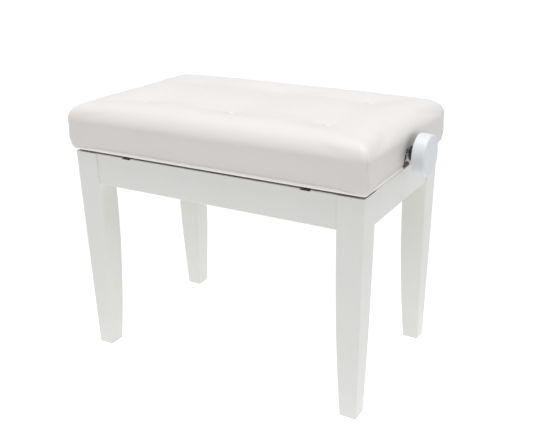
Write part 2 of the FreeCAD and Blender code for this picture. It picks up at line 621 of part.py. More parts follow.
def make_button():
    """A covered button: a low dome with a soft rim, seated at the bottom of a dimple."""
    rest = SEAT_TOP - DIMPLE_DEPTH + BUTTON_RADIUS**2 / (2 * DIMPLE_RADIUS) + HEM_GAP
    button = Part.makeCylinder(BUTTON_RADIUS, BUTTON_THICK, V(0, 0, rest))
    return button.makeFillet(BUTTON_RIM, edges_where(button, lambda b: b.ZMin > rest + BUTTON_RIM))


save("tuft_buttons", *[make_button().translated(V(x, y, 0)) for x, y in button_places])


def make_piping():
    """The cord along the front hem, from one end notch round to the other."""
    x, y = SEAT_LENGTH / 2 - PIPING_RADIUS, SEAT_WIDTH / 2 - PIPING_RADIUS
    z, bend = SEAT_BOTTOM + PIPING_RADIUS, COVER_CORNER - PIPING_RADIUS
    start = NOTCH_HALF_WIDTH + PIPING_SHORT
    diagonal = bend * (1 - 1 / sqrt(2))
    run = Part.makeLine(V(x, start, z), V(x, y - bend, z))
    corner = Part.Arc(V(x, y - bend, z), V(x - diagonal, y - diagonal, z), V(x - bend, y, z))
    edges = [run, corner.toShape(), Part.makeLine(V(x - bend, y, z), V(0, y, z))]
    ring = Part.Wire([Part.makeCircle(PIPING_RADIUS, V(x, start, z), Y_AXIS)])
    half = Part.Wire(edges).makePipeShell([ring], True, False)
    return half.fuse(mirrored(half, end=-1)).removeSplitter()


save("piping", *both_sides(make_piping()))
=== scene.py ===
import json
from math import atan2, ceil, copysign, cos, exp, hypot, pi, radians, sin, sqrt

import bpy
from mathutils import Matrix, Vector
from mathutils.kdtree import KDTree


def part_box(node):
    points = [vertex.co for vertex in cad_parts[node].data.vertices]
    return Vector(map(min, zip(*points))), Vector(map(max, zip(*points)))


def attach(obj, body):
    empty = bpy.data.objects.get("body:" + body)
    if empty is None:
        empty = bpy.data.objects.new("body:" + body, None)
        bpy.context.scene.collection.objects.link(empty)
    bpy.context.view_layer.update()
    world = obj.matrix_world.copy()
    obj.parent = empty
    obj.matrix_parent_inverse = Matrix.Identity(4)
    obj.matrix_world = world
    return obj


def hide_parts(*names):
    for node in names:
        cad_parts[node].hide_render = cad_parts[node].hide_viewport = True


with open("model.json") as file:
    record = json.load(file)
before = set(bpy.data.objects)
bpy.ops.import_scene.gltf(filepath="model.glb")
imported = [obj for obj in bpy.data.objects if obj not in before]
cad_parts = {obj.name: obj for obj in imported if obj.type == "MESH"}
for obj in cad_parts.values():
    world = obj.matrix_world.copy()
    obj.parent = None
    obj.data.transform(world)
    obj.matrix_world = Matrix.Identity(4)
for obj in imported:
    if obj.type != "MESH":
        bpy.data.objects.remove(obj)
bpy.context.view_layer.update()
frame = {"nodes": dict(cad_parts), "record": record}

# A white piano bench: lacquered legs and aprons, a tufted leatherette cushion with piping at its
# hem, and a scissor lift turned by two knobs. Metres, in the CAD model's own frame.

MM = 0.001
ON_EDGE = 1e-6  # closer than this to an edge of the sharp box counts as lying on it
scene = bpy.context.scene


def link(name, data):
    """A new object in the scene for a mesh, a camera or a light."""
    made = bpy.data.objects.new(name, data)
    scene.collection.objects.link(made)
    return made


def mesh_object(name, points, faces):
    """A smooth-shaded object from points and faces."""
    mesh = bpy.data.meshes.new(name)
    mesh.from_pydata(points, [], faces)
    mesh.validate()
    mesh.polygons.foreach_set("use_smooth", [True] * len(mesh.polygons))
    mesh.update()
    return link(name, mesh)


def apply_modifiers(piece):
    """Turns what the modifiers make into the object's own mesh."""
    seen = piece.evaluated_get(bpy.context.evaluated_depsgraph_get())
    mesh = bpy.data.meshes.new_from_object(seen)
    piece.modifiers.clear()
    piece.data = mesh


def smooth_step(low, high, value):
    """0 up to low, 1 from high on, and an even S-curve between them."""
    t = min(1.0, max(0.0, (value - low) / (high - low)))
    return t * t * (3 - 2 * t)


def bell(distance, width):
    """1 at no distance, fading to nothing over about twice the width."""
    return exp(-(distance / width) ** 2)


# ---------------------------------------------------------------------------------------------
# Camera
# ---------------------------------------------------------------------------------------------

CAMERA_AT = (0.680, -1.120, 0.763)
CAMERA_YAW, CAMERA_DOWN, CAMERA_ROLL = 28.53, 21.45, -0.33
SENSOR, LENS = 36.0, 51.467
SHIFT_RIGHT, SHIFT_UP = -0.0504, -0.0086


def make_camera():
    data = bpy.data.cameras.new("camera")
    data.sensor_width = SENSOR
    data.lens = LENS
    data.shift_x = SHIFT_RIGHT
    data.shift_y = SHIFT_UP
    camera = link("camera", data)
    turn = Matrix.Rotation(radians(CAMERA_YAW), 3, "Z")
    tilt = Matrix.Rotation(radians(90 - CAMERA_DOWN), 3, "X")
    roll = Matrix.Rotation(radians(CAMERA_ROLL), 3, "Z")
    camera.rotation_euler = (turn @ tilt @ roll).to_euler()
    camera.location = CAMERA_AT
    scene.camera = camera


# ---------------------------------------------------------------------------------------------
# Materials
# ---------------------------------------------------------------------------------------------

class Shader:
    """A material's nodes, with a short way to add and join them."""

    def __init__(self, name, roughness, **sockets):
        self.material = bpy.data.materials.new(name)
        self.material.use_nodes = True
        self.tree = self.material.node_tree
        self.surface = self.tree.nodes["Principled BSDF"]
        self.surface.inputs["Roughness"].default_value = roughness
        for socket, value in sockets.items():
            self.surface.inputs[socket.replace("_", " ")].default_value = value
        self.place = self.add("ShaderNodeTexCoord").outputs["Object"]

    def add(self, kind, **settings):
        node = self.tree.nodes.new(kind)
        for setting, value in settings.items():
            setattr(node, setting, value)
        return node

    def join(self, out, socket):
        self.tree.links.new(out, socket)

    def stretched(self, scale):
        """The object's own coordinates, scaled along each axis."""
        mapping = self.add("ShaderNodeMapping")
        mapping.inputs["Scale"].default_value = scale
        self.join(self.place, mapping.inputs["Vector"])
        return mapping.outputs["Vector"]

    def noise(self, scale, detail=3.0, place=None, distortion=0.0):
        node = self.add("ShaderNodeTexNoise")
        node.inputs["Scale"].default_value = scale
        node.inputs["Detail"].default_value = detail
        node.inputs["Distortion"].default_value = distortion
        self.join(place or self.place, node.inputs["Vector"])
        return node.outputs["Fac"]

    def cells(self, scale, feature="DISTANCE_TO_EDGE"):
        node = self.add("ShaderNodeTexVoronoi", feature=feature)
        node.inputs["Scale"].default_value = scale
        self.join(self.place, node.inputs["Vector"])
        return node.outputs["Distance"]

    def ramp(self, factor, *stops):
        """Colours or values between stops, each (place, colour)."""
        node = self.add("ShaderNodeValToRGB")
        ramp = node.color_ramp
        while len(ramp.elements) < len(stops):
            ramp.elements.new(0.5)
        for element, (place, colour) in zip(ramp.elements, stops):
            element.position = place
            element.color = colour if len(colour) == 4 else (*colour, 1.0)
        self.join(factor, node.inputs["Fac"])
        return node.outputs["Color"]

    def grey(self, factor, low, high):
        """A value that varies from low to high as a factor goes from 0.25 to 0.75."""
        node = self.add("ShaderNodeMapRange")
        node.inputs["From Min"].default_value = 0.25
        node.inputs["From Max"].default_value = 0.75
        node.inputs["To Min"].default_value = low
        node.inputs["To Max"].default_value = high
        self.join(factor, node.inputs["Value"])
        return node.outputs["Result"]

    def colour(self, factor, *stops):
        self.join(self.ramp(factor, *stops), self.surface.inputs["Base Color"])

    def roughness(self, factor, low, high):
        self.join(self.grey(factor, low, high), self.surface.inputs["Roughness"])

    def bump(self, height, depth, strength=1.0, under=None):
        """Relief of a depth in metres. under is another bump that this one lies on."""
        node = self.add("ShaderNodeBump")
        node.inputs["Strength"].default_value = strength
        node.inputs["Distance"].default_value = depth
        self.join(height, node.inputs["Height"])
        if under:
            self.join(under, node.inputs["Normal"])
        self.join(node.outputs["Normal"], self.surface.inputs["Normal"])
        return node.outputs["Normal"]


def leatherette(name, light, shade, grain=1400.0):
    """Coated fabric with a fine pebbled grain, a soft sheen and faint tonal drift."""
    made = Shader(name, 0.5, Specular_IOR_Level=0.38, Sheen_Weight=0.1, Sheen_Roughness=0.4)
    drift = made.noise(9.0, 4.0)
    made.colour(drift, (0.3, shade), (0.7, light))
    made.roughness(made.noise(60.0, 3.0), 0.45, 0.55)
    pebble = made.ramp(made.cells(grain), (0.0, (0, 0, 0)), (0.22, (1, 1, 1)))
    soft = made.bump(made.noise(210.0, 3.0), 0.25 * MM, 0.25)
    made.bump(pebble, 0.06 * MM, 0.5, under=soft)
    return made.material


def lacquer():
    """Sprayed white satin lacquer on wood: orange peel and faint tonal drift."""
    made = Shader("white_lacquer", 0.4, Specular_IOR_Level=0.5, Coat_Weight=0.1, Coat_Roughness=0.35)
    made.colour(made.noise(7.0, 3.0), (0.3, (0.755, 0.765, 0.735)), (0.7, (0.775, 0.78, 0.755)))
    made.roughness(made.noise(35.0, 2.0), 0.36, 0.44)
    made.bump(made.noise(330.0, 0.0), 0.02 * MM, 0.15)
    return made.material


def bare_wood():
    """Pale beech, its grain running along X."""
    made = Shader("bare_wood", 0.6, Specular_IOR_Level=0.3)
    grain = made.noise(40.0, 5.0, made.stretched((0.25, 6.0, 6.0)), 0.6)
    made.colour(grain, (0.3, (0.42, 0.27, 0.15)), (0.7, (0.66, 0.48, 0.3)))
    made.roughness(grain, 0.5, 0.68)
    made.bump(grain, 0.2 * MM, 0.4)
    return made.material


def plywood():
    """Birch plywood: level plies that show as stripes on every edge."""
    made = Shader("plywood", 0.65, Specular_IOR_Level=0.25)
    plies = made.add("ShaderNodeTexWave", bands_direction="Z")
    plies.inputs["Scale"].default_value = 105.0
    plies.inputs["Distortion"].default_value = 0.6
    made.join(made.place, plies.inputs["Vector"])
    grain = made.noise(30.0, 5.0, made.stretched((0.3, 5.0, 1.0)), 0.5)
    mixed = made.add("ShaderNodeMath", operation="MULTIPLY_ADD")
    mixed.inputs[1].default_value = 0.35
    made.join(plies.outputs["Fac"], mixed.inputs[0])
    made.join(grain, mixed.inputs[2])
    made.colour(mixed.outputs[0], (0.3, (0.4, 0.26, 0.14)), (0.9, (0.68, 0.52, 0.33)))
    made.roughness(grain, 0.55, 0.72)
    made.bump(grain, 0.15 * MM, 0.4)
    return made.material


def black_board():
    """Matt black board for the skirts, its faint fibres raised. The black is painted shade, so that the
    gap under the piping and the notches look dark.
    """
    made = Shader("black_board", 0.8, Specular_IOR_Level=0.25)
    fibres = made.noise(260.0, 5.0, made.stretched((0.4, 0.4, 1.0)), 1.0)
    made.colour(fibres, (0.3, (0.014, 0.014, 0.014)), (0.7, (0.026, 0.026, 0.026)))
    made.roughness(fibres, 0.7, 0.9)
    made.bump(fibres, 0.1 * MM, 0.4)
    return made.material


def foam():
    """Open-cell foam, pale yellow."""
    made = Shader("foam", 0.9, Specular_IOR_Level=0.2)
    pores = made.cells(700.0, "F1")
    made.colour(pores, (0.1, (0.62, 0.52, 0.3)), (0.6, (0.82, 0.74, 0.5)))
    made.roughness(pores, 0.8, 1.0)
    made.bump(pores, 0.4 * MM, 0.6)
    return made.material


def wadding():
    """White fibre wadding."""
    made = Shader("wadding", 0.95, Specular_IOR_Level=0.2, Sheen_Weight=0.4)
    fibres = made.noise(500.0, 6.0, made.stretched((1.0, 1.0, 3.0)), 2.0)
    made.colour(fibres, (0.3, (0.62, 0.62, 0.6)), (0.7, (0.85, 0.85, 0.83)))
    made.roughness(fibres, 0.85, 1.0)
    made.bump(fibres, 0.5 * MM, 0.7)
    return made.material


def black_steel():
    """Powder-coated black steel strip."""
    made = Shader("black_steel", 0.42, Specular_IOR_Level=0.5)
    fine = made.noise(900.0, 3.0)
    made.colour(made.noise(25.0, 3.0), (0.3, (0.012, 0.012, 0.013)), (0.7, (0.022, 0.022, 0.024)))
    made.roughness(fine, 0.34, 0.52)
    made.bump(fine, 0.05 * MM, 0.4)
    return made.material


def metal(name, dark, light, low, high):
    """Bare or plated steel with fine turning marks and a slightly uneven polish."""
    made = Shader(name, low, Metallic=1.0)
    marks = made.noise(160.0, 4.0, made.stretched((1.0, 12.0, 12.0)))
    made.colour(marks, (0.3, dark), (0.7, light))
    made.roughness(marks, low, high)
    made.bump(marks, 0.03 * MM, 0.3)
    return made.material


def plastic(name, dark, light, low, high, coat=0.0):
    """Moulded plastic: even colour, a faint flow pattern and a fine skin."""
    made = Shader(name, low, Specular_IOR_Level=0.5, Coat_Weight=coat, Coat_Roughness=0.3)
    made.colour(made.noise(18.0, 2.0), (0.3, dark), (0.7, light))
    made.roughness(made.noise(90.0, 3.0), low, high)
    made.bump(made.noise(650.0, 2.0), 0.03 * MM, 0.3)
    return made.material


def make_materials():
    """Every finish, by the name of its material slot."""
    return {
        "white_lacquer": lacquer(),
        "bare_wood": bare_wood(),
        "plywood": plywood(),
        # The skirts' black board is painted shade for the gap under the piping and the notches.
        "black_board": black_board(),
        "leatherette": leatherette("leatherette", (0.735, 0.71, 0.695), (0.715, 0.69, 0.675)),
        # The piping's leatherette is a lighter copy of the cover's: the extra lightness is a painted
        # highlight for the light on the piping's top.
        "piping_leatherette": leatherette(
            "piping_leatherette", (0.90, 0.87, 0.845), (0.88, 0.85, 0.825), 1700.0
        ),
        "foam": foam(),
        "wadding": wadding(),
        "black_steel": black_steel(),
        "zinc_steel": metal("zinc_steel", (0.5, 0.5, 0.48), (0.68, 0.68, 0.66), 0.28, 0.42),
        "spindle_steel": metal("spindle_steel", (0.45, 0.45, 0.45), (0.62, 0.62, 0.61), 0.22, 0.36),
        "white_plastic": plastic(
            "white_plastic", (0.68, 0.715, 0.735), (0.70, 0.735, 0.755), 0.34, 0.42, 0.1
        ),
        "nylon": plastic("nylon", (0.72, 0.7, 0.64), (0.78, 0.76, 0.7), 0.45, 0.55),
        "glide_plastic": plastic("glide_plastic", (0.02, 0.02, 0.02), (0.035, 0.035, 0.035), 0.4, 0.55),
    }


def node_slots():
    """The record's material slot of each CAD node."""
    return {part["node"]: part["material_slot"] for part in frame["record"]["subparts"]}


def dress_cad_nodes(finishes):
    for name, slot in node_slots().items():
        data = frame["nodes"][name].data
        data.materials.clear()
        data.materials.append(finishes[slot])


# ---------------------------------------------------------------------------------------------
# The cushion's shape
# ---------------------------------------------------------------------------------------------
# It starts as a box with sharp edges, whose points are then moved onto the stuffed shape. The
# sharp box is the CAD cover's own box.

cover_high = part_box("seat_cover")[1]
piping_low, piping_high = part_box("piping")
HALF_X, HALF_Y = cover_high.x, cover_high.y
HEM_OVERLAP = 0.4 * MM
HEM_Z, TOP_Z = piping_high.z - HEM_OVERLAP, cover_high.z
BOARD_TOP_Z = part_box("seat_board")[1].z

TOP_EDGE = 24 * MM
EDGE_REACH = 60 * MM
CORNER_AT_HEM, CORNER_AT_TOP = 3.5 * MM, 13 * MM
CORNER_FADE = TOP_EDGE * 1.4
HEM_BAND = 10 * MM
HEM_SWELL, SIDE_SWELL = -1.8 * MM, 6.4 * MM
HEM_FLARE, HEM_FLARE_HEIGHT = 0.8 * MM, 2.6 * MM
CORNER_BULGE, CORNER_BULGE_WIDTH = 4.8 * MM, 34 * MM
CROWN = 4.6 * MM
CROWN_POWER = 9.0
TUFT_DEPTH, TUFT_NARROW, TUFT_WIDE = 5.0 * MM, 11 * MM, 24 * MM
NARROW_SHARE = 0.45

button_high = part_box("tuft_buttons")[1]
BUTTON_RADIUS = 9 * MM
BUTTON_X = button_high.x - BUTTON_RADIUS
BUTTON_Y = button_high.y - BUTTON_RADIUS
TUFTS = [(x, y) for x in (-BUTTON_X, 0.0, BUTTON_X) for y in (-BUTTON_Y, BUTTON_Y)]

spindle_low, spindle_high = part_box("spindle")
spindle_z = (spindle_low.z + spindle_high.z) / 2
NOTCH_HALF = 7.5 * MM
NOTCH_ROUND_Z = spindle_z + 1.5 * MM
NOTCH_LIP = 3.0 * MM
NOTCH_PULL, NOTCH_PULL_WIDTH = 1.4 * MM, 9 * MM


def on_top(place):
    """Whether a place on the sharp box is on its top rather than on a wall."""
    return place[2] >= TOP_Z - ON_EDGE


def on_end(place):
    """Whether a place on the sharp box is on one of its two end walls, the ones with a notch."""
    return abs(place[0]) >= HALF_X - ON_EDGE


def top_edge_rounded(out, z):
    """Moves a point of the sharp profile onto its rounded edge. out is 0 on the wall and below
    0 further in on the top."""
    across, up = out + TOP_EDGE, z - (TOP_Z - TOP_EDGE)
    if across <= 0 or up <= 0:
        return out, z
    scale = TOP_EDGE / hypot(across, up)
    return across * scale - TOP_EDGE, up * scale + TOP_Z - TOP_EDGE


def side_swell(z):
    """How far the wall stands out of the sharp box at a height."""
    rise = min(1.0, max(0.0, (z - HEM_Z) / (TOP_Z - TOP_EDGE - HEM_Z)))
    return HEM_SWELL + (SIDE_SWELL - HEM_SWELL) * rise


def corner_radius(out, z):
    """The plan radius of a corner, wider higher up the wall and fading out further in on the top."""
    rise = smooth_step(HEM_Z + HEM_BAND, TOP_Z - TOP_EDGE, z)
    radius = CORNER_AT_HEM + (CORNER_AT_TOP - CORNER_AT_HEM) * rise
    return max(0.0, radius * (1 + out / CORNER_FADE))


def plan_rounded(x, y, half_x, half_y, radius):
    """Moves a point of a sharp-cornered rectangle onto the same rectangle with round corners."""
    across, along = abs(x) - (half_x - radius), abs(y) - (half_y - radius)
    if across <= 0 or along <= 0 or radius <= 0:
        return x, y
    scale = radius / hypot(across, along)
    x_out = half_x - radius + across * scale
    y_out = half_y - radius + along * scale
    return (x_out if x > 0 else -x_out), (y_out if y > 0 else -y_out)


def tuft_dip(x, y):
    """How deep the nearest buttons pull the top down at a place."""
    dip = 0.0
    for tuft_x, tuft_y in TUFTS:
        away = hypot(x - tuft_x, y - tuft_y)
        dip += NARROW_SHARE * bell(away, TUFT_NARROW) + (1 - NARROW_SHARE) * bell(away, TUFT_WIDE)
    return dip * TUFT_DEPTH


def stuffed(point, swell=1.0, inset=0.0):
    """Where a point of the sharp box lies on the stuffed cushion. swell is the share of the full
    swelling, and inset is the distance under the surface."""
    x, y, z = point
    depth_in = min(HALF_X - abs(x), HALF_Y - abs(y)) if on_top(point) else 0.0
    out, height = top_edge_rounded(-depth_in, z)
    grown = (swell * side_swell(height) - inset) * smooth_step(-EDGE_REACH, 0.0, out)
    ring_x, ring_y = HALF_X - depth_in, HALF_Y - depth_in
    new_x, new_y = HALF_X + out + grown, HALF_Y + out + grown
    if depth_in < EDGE_REACH:
        x, y = x * new_x / ring_x, y * new_y / ring_y
    x, y = plan_rounded(x, y, new_x, new_y, corner_radius(out, height))
    full = (1 - (abs(x) / (HALF_X + SIDE_SWELL)) ** CROWN_POWER)
    full *= 1 - (abs(y) / (HALF_Y + SIDE_SWELL)) ** CROWN_POWER
    share = smooth_step(TOP_Z - TOP_EDGE, TOP_Z, height)
    height += share * (swell * CROWN * max(0.0, full) - tuft_dip(x, y) - inset)
    return Vector((x, y, height))


# ---------------------------------------------------------------------------------------------
# Box grids: a top and four walls that share their edge points
# ---------------------------------------------------------------------------------------------

def stations(half, step, first_gap, growth=1.55):
    """Places from -half to half, a step apart but closer and closer towards both ends."""
    gaps = []
    gap = first_gap
    while gap < step:
        gaps.append(gap)
        gap *= growth
    middle = 2 * (half - sum(gaps))
    count = max(2, 2 * ceil(middle / step / 2))
    places = [-half]
    for gap in gaps + [middle / count] * count + gaps[::-1]:
        places.append(places[-1] + gap)
    places[-1] = half
    return places


def ring_of(columns, rows):
    """The border of a grid of columns and rows, once round, as (column, row) pairs."""
    front = [(i, 0) for i in range(columns - 1)]
    right = [(columns - 1, j) for j in range(rows - 1)]
    back = [(i, rows - 1) for i in range(columns - 1, 0, -1)]
    left = [(0, j) for j in range(rows - 1, 0, -1)]
    return front + right + back + left


def box_grid(xs, ys, wall):
    """Points and faces of a top at TOP_Z and the walls under it. wall(x, y) gives the points
    that go down from a border point, the same number at each."""
    points = [Vector((x, y, TOP_Z)) for y in ys for x in xs]
    columns, rows = len(xs), len(ys)
    faces = []
    for j in range(rows - 1):
        for i in range(columns - 1):
            corner = j * columns + i
            faces.append((corner, corner + 1, corner + columns + 1, corner + columns))
    above = [j * columns + i for i, j in ring_of(columns, rows)]
    downs = [wall(points[k].x, points[k].y) for k in above]
    for level in range(len(downs[0])):
        start = len(points)
        points.extend(down[level] for down in downs)
        below = list(range(start, start + len(above)))
        for k in range(len(above)):
            after = (k + 1) % len(above)
            faces.append((above[k], below[k], below[after], above[after]))
        above = below
    return points, faces


# ---------------------------------------------------------------------------------------------
# The notches for the spindle: the columns near each one lean over to follow its outline
# ---------------------------------------------------------------------------------------------

NOTCH_REACH = 72 * MM
NOTCH_SHARE = 0.55
NOTCH_SPREAD = 1.35
NOTCH_LOW_PULL = 0.25
notch_side = NOTCH_ROUND_Z - HEM_Z
notch_half_length = notch_side + NOTCH_HALF * pi / 2


def hem_point(y):
    """Where an end wall's column at y meets the hem, which climbs round the notch."""
    share = abs(y) / NOTCH_REACH
    sign = 1 if y > 0 else -1
    if share >= 1:
        return y, HEM_Z
    if share >= NOTCH_SHARE:
        along = (share - NOTCH_SHARE) / (1 - NOTCH_SHARE)
        return sign * (NOTCH_HALF + (NOTCH_REACH - NOTCH_HALF) * along ** NOTCH_SPREAD), HEM_Z
    length = notch_half_length * (1 - share / NOTCH_SHARE)
    if length <= notch_side:
        return sign * NOTCH_HALF, HEM_Z + length
    angle = (length - notch_side) / NOTCH_HALF
    return sign * NOTCH_HALF * cos(angle), NOTCH_ROUND_Z + NOTCH_HALF * sin(angle)


def notch_distance(y, z):
    """How far a place on an end wall lies from the edge of the notch."""
    if z > NOTCH_ROUND_Z:
        return max(0.0, hypot(y, z - NOTCH_ROUND_Z) - NOTCH_HALF)
    return max(0.0, abs(y) - NOTCH_HALF)


def notch_pull(y, z):
    """How far the leatherette is drawn in near the notch: a rolled lip in a shallow hollow."""
    away = notch_distance(y, z)
    lip = 0.0
    if away < NOTCH_LIP:
        lip = NOTCH_LIP - sqrt(NOTCH_LIP ** 2 - (NOTCH_LIP - away) ** 2)
    above = smooth_step(HEM_Z, NOTCH_ROUND_Z, z)
    hollow = NOTCH_PULL * bell(away, NOTCH_PULL_WIDTH) * (NOTCH_LOW_PULL + (1 - NOTCH_LOW_PULL) * above)
    return lip + hollow


# ---------------------------------------------------------------------------------------------
# Cloth simulation of the cover: held at its lower walls and its buttons, blown up from inside
# ---------------------------------------------------------------------------------------------

SIM_STEP = 7.5 * MM
SIM_FRAMES = 20
SIM_PRESSURE = 6.0
SIM_CAP = 6 * MM
SIM_LEVELS = 9
HELD_BELOW, FREE_ABOVE = BOARD_TOP_Z - 12 * MM, BOARD_TOP_Z + 4 * MM


def simulated_swell():
    """The simulated cover as a list of (place on the sharp box, movement)."""
    xs = stations(HALF_X, SIM_STEP, SIM_STEP)
    ys = stations(HALF_Y, SIM_STEP, SIM_STEP)
    levels = [HEM_Z + (TOP_Z - HEM_Z) * k / SIM_LEVELS for k in range(SIM_LEVELS - 1, -1, -1)]
    points, faces = box_grid(xs, ys, lambda x, y: [Vector((x, y, z)) for z in levels])
    start = [stuffed(p) for p in points]
    cloth = mesh_object("swelling", start, faces)
    held = cloth.vertex_groups.new(name="held")
    for k, p in enumerate(points):
        near_button = min(hypot(p.x - x, p.y - y) for x, y in TUFTS)
        low = 1 - smooth_step(HELD_BELOW, FREE_ABOVE, p.z)
        button = 1.0 if on_top(p) and near_button < BUTTON_RADIUS else 0.0
        held.add([k], max(low, button), "REPLACE")
    settings = cloth.modifiers.new("cloth", "CLOTH").settings
    settings.vertex_group_mass = "held"
    settings.use_pressure = True
    settings.uniform_pressure_force = SIM_PRESSURE
    settings.effector_weights.gravity = 0.0
    settings.quality = 6
    settings.mass = 0.35
    settings.tension_stiffness = 30.0
    settings.compression_stiffness = 12.0
    settings.shear_stiffness = 12.0
    settings.bending_stiffness = 1.5
    for number in range(1, SIM_FRAMES + 1):
        scene.frame_set(number)
    seen = cloth.evaluated_get(bpy.context.evaluated_depsgraph_get())
    moves = []
    for k, p in enumerate(points):
        move = seen.data.vertices[k].co - start[k]
        if move.length > SIM_CAP:
            move *= SIM_CAP / move.length
        moves.append((p, move))
    scene.frame_set(1)
    bpy.data.objects.remove(cloth)
    return moves


class Swelling:
    """The simulated movement, spread smoothly to any place on the sharp box."""

    NEIGHBOURS = 16
    WIDTH = 6 * MM

    def __init__(self, moves):
        self.moves = moves
        self.tree = KDTree(len(moves))
        for k, (place, _) in enumerate(moves):
            self.tree.insert(place, k)
        self.tree.balance()

    def at(self, place):
        total, weights = Vector(), 0.0
        for _, k, away in self.tree.find_n(place, self.NEIGHBOURS):
            weight = bell(away, self.WIDTH)
            total += self.moves[k][1] * weight
            weights += weight
        return total / weights


# ---------------------------------------------------------------------------------------------
# The cover
# ---------------------------------------------------------------------------------------------

GRID_STEP, GRID_FIRST = 6 * MM, 0.9 * MM
COVER_THICK = 1.0 * MM
SEAM_DEPTH, SEAM_WIDTH = 1.3 * MM, 1.2 * MM
WELT_HEIGHT, WELT_AWAY, WELT_WIDTH = 0.5 * MM, 2.6 * MM, 1.8 * MM
SEAM_TOP_Z = TOP_Z - 4 * MM
FOLDS, SLOW_FOLDS, FOLD_HEIGHT, FOLD_AWAY, FOLD_WIDTH = 9, 5, 0.3 * MM, 13 * MM, 6 * MM
WRINKLE_HEIGHT, WRINKLE_AWAY, WRINKLE_WIDTH = 0.25 * MM, 30 * MM, 18 * MM
FLARE_FADE = 8 * MM
CORNER_TURN = 6 * MM
LEAN_FROM = 0.15
HEM_TUCK, NOTCH_TUCK = 5 * MM, 0.8 * MM
TUCK_SHARES = (0.12, 0.4, 1.0)


def wall_levels():
    """Shares of the wall's height going down from the top edge, closer together at the hem."""
    places = stations(1.0, GRID_STEP / (TOP_Z - HEM_Z) * 2, GRID_FIRST / (TOP_Z - HEM_Z) * 2)
    return [(1 + p) / 2 for p in places[1:]]


def cover_wall(x, y):
    """An end wall's columns lean to meet the notch, and a long wall's go straight down."""
    down = []
    foot_y, foot_z = hem_point(y) if on_end((x, y)) else (y, HEM_Z)
    for share in wall_levels():
        z = TOP_Z + (foot_z - TOP_Z) * share
        lean = smooth_step(LEAN_FROM, 1.0, share)
        down.append(Vector((x, y + (foot_y - y) * lean, z)))
    return down


def seam_groove(place):
    """How far the vertical seam at each corner is sunk, and the welts beside it raised."""
    away = HALF_X - abs(place.x) + HALF_Y - abs(place.y)
    low = 1 - smooth_step(TOP_Z - TOP_EDGE, SEAM_TOP_Z, place.z)
    welt = WELT_HEIGHT * bell(away - WELT_AWAY, WELT_WIDTH)
    return low * (welt - SEAM_DEPTH * bell(away, SEAM_WIDTH))


def hem_fullness(place):
    """How far the wall stands out at its foot: a small flare onto the piping, and at each corner
    a fuller gather."""
    away = HALF_X - abs(place.x) + HALF_Y - abs(place.y)
    corner = bell(away, CORNER_BULGE_WIDTH)
    gather = CORNER_BULGE * corner * (1 - smooth_step(HEM_Z + HEM_BAND, TOP_Z - TOP_EDGE, place.z))
    climb = min(1.0, (place.z - HEM_Z) / HEM_FLARE_HEIGHT)
    flare = HEM_FLARE * (1 - corner) * (1 - climb) ** 2
    if on_end(place):
        flare *= smooth_step(NOTCH_HALF, NOTCH_HALF + FLARE_FADE, abs(place.y))
    return gather + flare


def radial_folds(x, y):
    """Short folds that run out from each button."""
    height = 0.0
    for number, (tuft_x, tuft_y) in enumerate(TUFTS):
        away = hypot(x - tuft_x, y - tuft_y)
        if away > 3 * FOLD_AWAY:
            continue
        angle = atan2(y - tuft_y, x - tuft_x)
        wave = cos(FOLDS * angle + number) + 0.5 * cos(SLOW_FOLDS * angle + 2 * number)
        height += FOLD_HEIGHT * wave * bell(away - FOLD_AWAY, FOLD_WIDTH)
    return height


def top_wrinkles(x, y):
    """Slow unevenness of hand-pulled leatherette near the border of the top."""
    edge = min(HALF_X - abs(x), HALF_Y - abs(y))
    border = bell(edge - WRINKLE_AWAY, WRINKLE_WIDTH) * smooth_step(0.0, WRINKLE_WIDTH, edge)
    return WRINKLE_HEIGHT * border * (sin(x * 95 + 1.3) + sin(y * 120 + x * 30))


def outward(place):
    """The level direction out of the cushion at a place on its wall."""
    to_x, to_y = HALF_X - abs(place.x), HALF_Y - abs(place.y)
    blend = smooth_step(-CORNER_TURN, CORNER_TURN, to_y - to_x)
    direction = Vector((copysign(blend, place.x), copysign(1 - blend, place.y), 0))
    return direction.normalized()


def cover_point(place, swelling):
    """The finished cover's surface at a place on the sharp box."""
    point = stuffed(place)
    if swelling:
        point += swelling.at(place)
    if on_top(place):
        point.z += radial_folds(place.x, place.y) + top_wrinkles(place.x, place.y)
        return point
    point += outward(place) * (seam_groove(place) + hem_fullness(place))
    if on_end(place):
        point.x -= copysign(notch_pull(place.y, place.z), place.x)
    return point


def tucked(place, point, share):
    """The cover's edge turned in under itself, deeper along the hem than in a notch."""
    in_notch = on_end(place) and abs(place.y) <= NOTCH_HALF + ON_EDGE
    depth = NOTCH_TUCK if in_notch else HEM_TUCK
    return point - outward(place) * depth * share


def make_cover(swelling):
    """The whole cover as one sheet with thickness: top, walls, seams, notches and turned-in edge."""
    xs = stations(HALF_X, GRID_STEP, GRID_FIRST)
    ys = stations(HALF_Y, GRID_STEP, GRID_FIRST)
    places, faces = box_grid(xs, ys, cover_wall)
    points = [cover_point(p, swelling) for p in places]
    border = len(ring_of(len(xs), len(ys)))
    edge = list(zip(places[-border:], points[-border:]))
    for share in TUCK_SHARES:
        start = len(points)
        points.extend(tucked(place, point, share) for place, point in edge)
        for k in range(border):
            after = (k + 1) % border
            above = start - border
            faces.append((above + k, start + k, start + after, above + after))
    cover = mesh_object("cushion_cover", points, faces)
    cover.modifiers.new("finer", "SUBSURF").levels = 1
    thick = cover.modifiers.new("thickness", "SOLIDIFY")
    thick.thickness = COVER_THICK
    thick.offset = -1.0
    apply_modifiers(cover)
    return cover


# ---------------------------------------------------------------------------------------------
# Under the cover: a foam block on the seat board, and wadding round the skirt boards
# ---------------------------------------------------------------------------------------------

